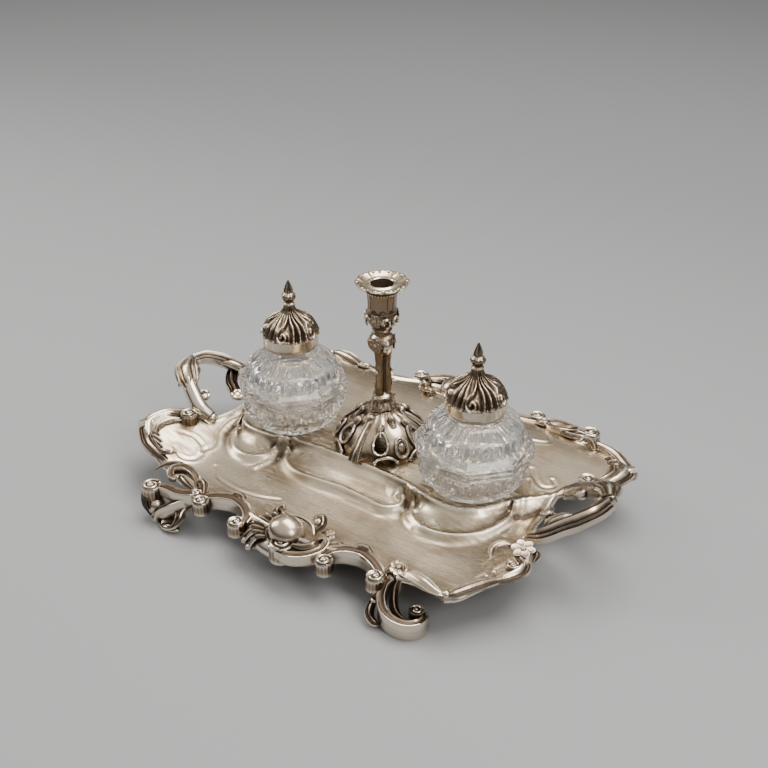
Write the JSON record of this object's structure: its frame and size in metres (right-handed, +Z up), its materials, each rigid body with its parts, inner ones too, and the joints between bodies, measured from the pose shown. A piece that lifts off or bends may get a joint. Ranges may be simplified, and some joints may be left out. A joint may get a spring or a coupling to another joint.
{
  "type": "inkstand",
  "caption": "Footed silver tray with scroll handles, cut-glass inkwells with lift-off lids, a pen trough and a taperstick.",
  "frame": {"origin": "on the table, under the middle of the tray", "axes": "+X towards the right handle, -Y towards the front of the tray, +Z up"},
  "size_m": [0.3156, 0.2196, 0.1381],
  "materials": {
    "sheet_silver": "worn, softly brushed silver with a warm tarnish",
    "cast_silver": "cast and chased silver, bright on high points and dark in the recesses",
    "lid_silver": "plain polished silver with light tarnish",
    "cut_glass": "clear cut crystal with polished facets",
    "brass_nut": "plain turned brass"
  },
  "bodies": {
    "stand": {"tray": "sheet_silver", "taper_seat": "sheet_silver", "taper_lug": "sheet_silver", "front_cartouche": "cast_silver", "back_cartouche": "cast_silver", "front_left_scroll": "cast_silver", "front_right_scroll": "cast_silver", "back_left_scroll": "cast_silver", "back_right_scroll": "cast_silver", "front_left_foot": "cast_silver", "front_right_foot": "cast_silver", "back_left_foot": "cast_silver", "back_right_foot": "cast_silver", "front_left_leaf": "cast_silver", "back_right_leaf": "cast_silver", "front_right_flower": "cast_silver", "back_left_flower": "cast_silver", "left_handle": "cast_silver", "right_handle": "cast_silver"},
    "left_bottle": {"left_bottle": "cut_glass", "left_neck_mount": "lid_silver"},
    "left_lid": {"left_lid_band": "lid_silver", "left_lid_dome": "cast_silver", "left_finial": "cast_silver", "left_finial_nut": "brass_nut"},
    "right_bottle": {"right_bottle": "cut_glass", "right_neck_mount": "lid_silver"},
    "right_lid": {"right_lid_band": "lid_silver", "right_lid_dome": "cast_silver", "right_finial": "cast_silver", "right_finial_nut": "brass_nut"},
    "taperstick": {"taper_base": "cast_silver", "taper_stem": "cast_silver", "taper_socket": "cast_silver", "stem_screw": "brass_nut"},
    "nozzle": {"taper_nozzle": "cast_silver"}
  },
  "joints": [
    {"name": "left_bottle_lift", "type": "slide", "parent": "stand", "child": "left_bottle", "axis": [0, 0, 1], "range_m": [0, 0.12]},
    {"name": "right_bottle_lift", "type": "slide", "parent": "stand", "child": "right_bottle", "axis": [0, 0, 1], "range_m": [0, 0.12]},
    {"name": "left_lid_lift", "type": "slide", "parent": "left_bottle", "child": "left_lid", "axis": [0, 0, 1], "range_m": [0, 0.05]},
    {"name": "right_lid_lift", "type": "slide", "parent": "right_bottle", "child": "right_lid", "axis": [0, 0, 1], "range_m": [0, 0.05]},
    {"name": "taperstick_lift", "type": "slide", "parent": "stand", "child": "taperstick", "axis": [0, 0, 1], "range_m": [0, 0.12]},
    {"name": "nozzle_lift", "type": "slide", "parent": "taperstick", "child": "nozzle", "axis": [0, 0, 1], "range_m": [0, 0.04]}
  ]
}
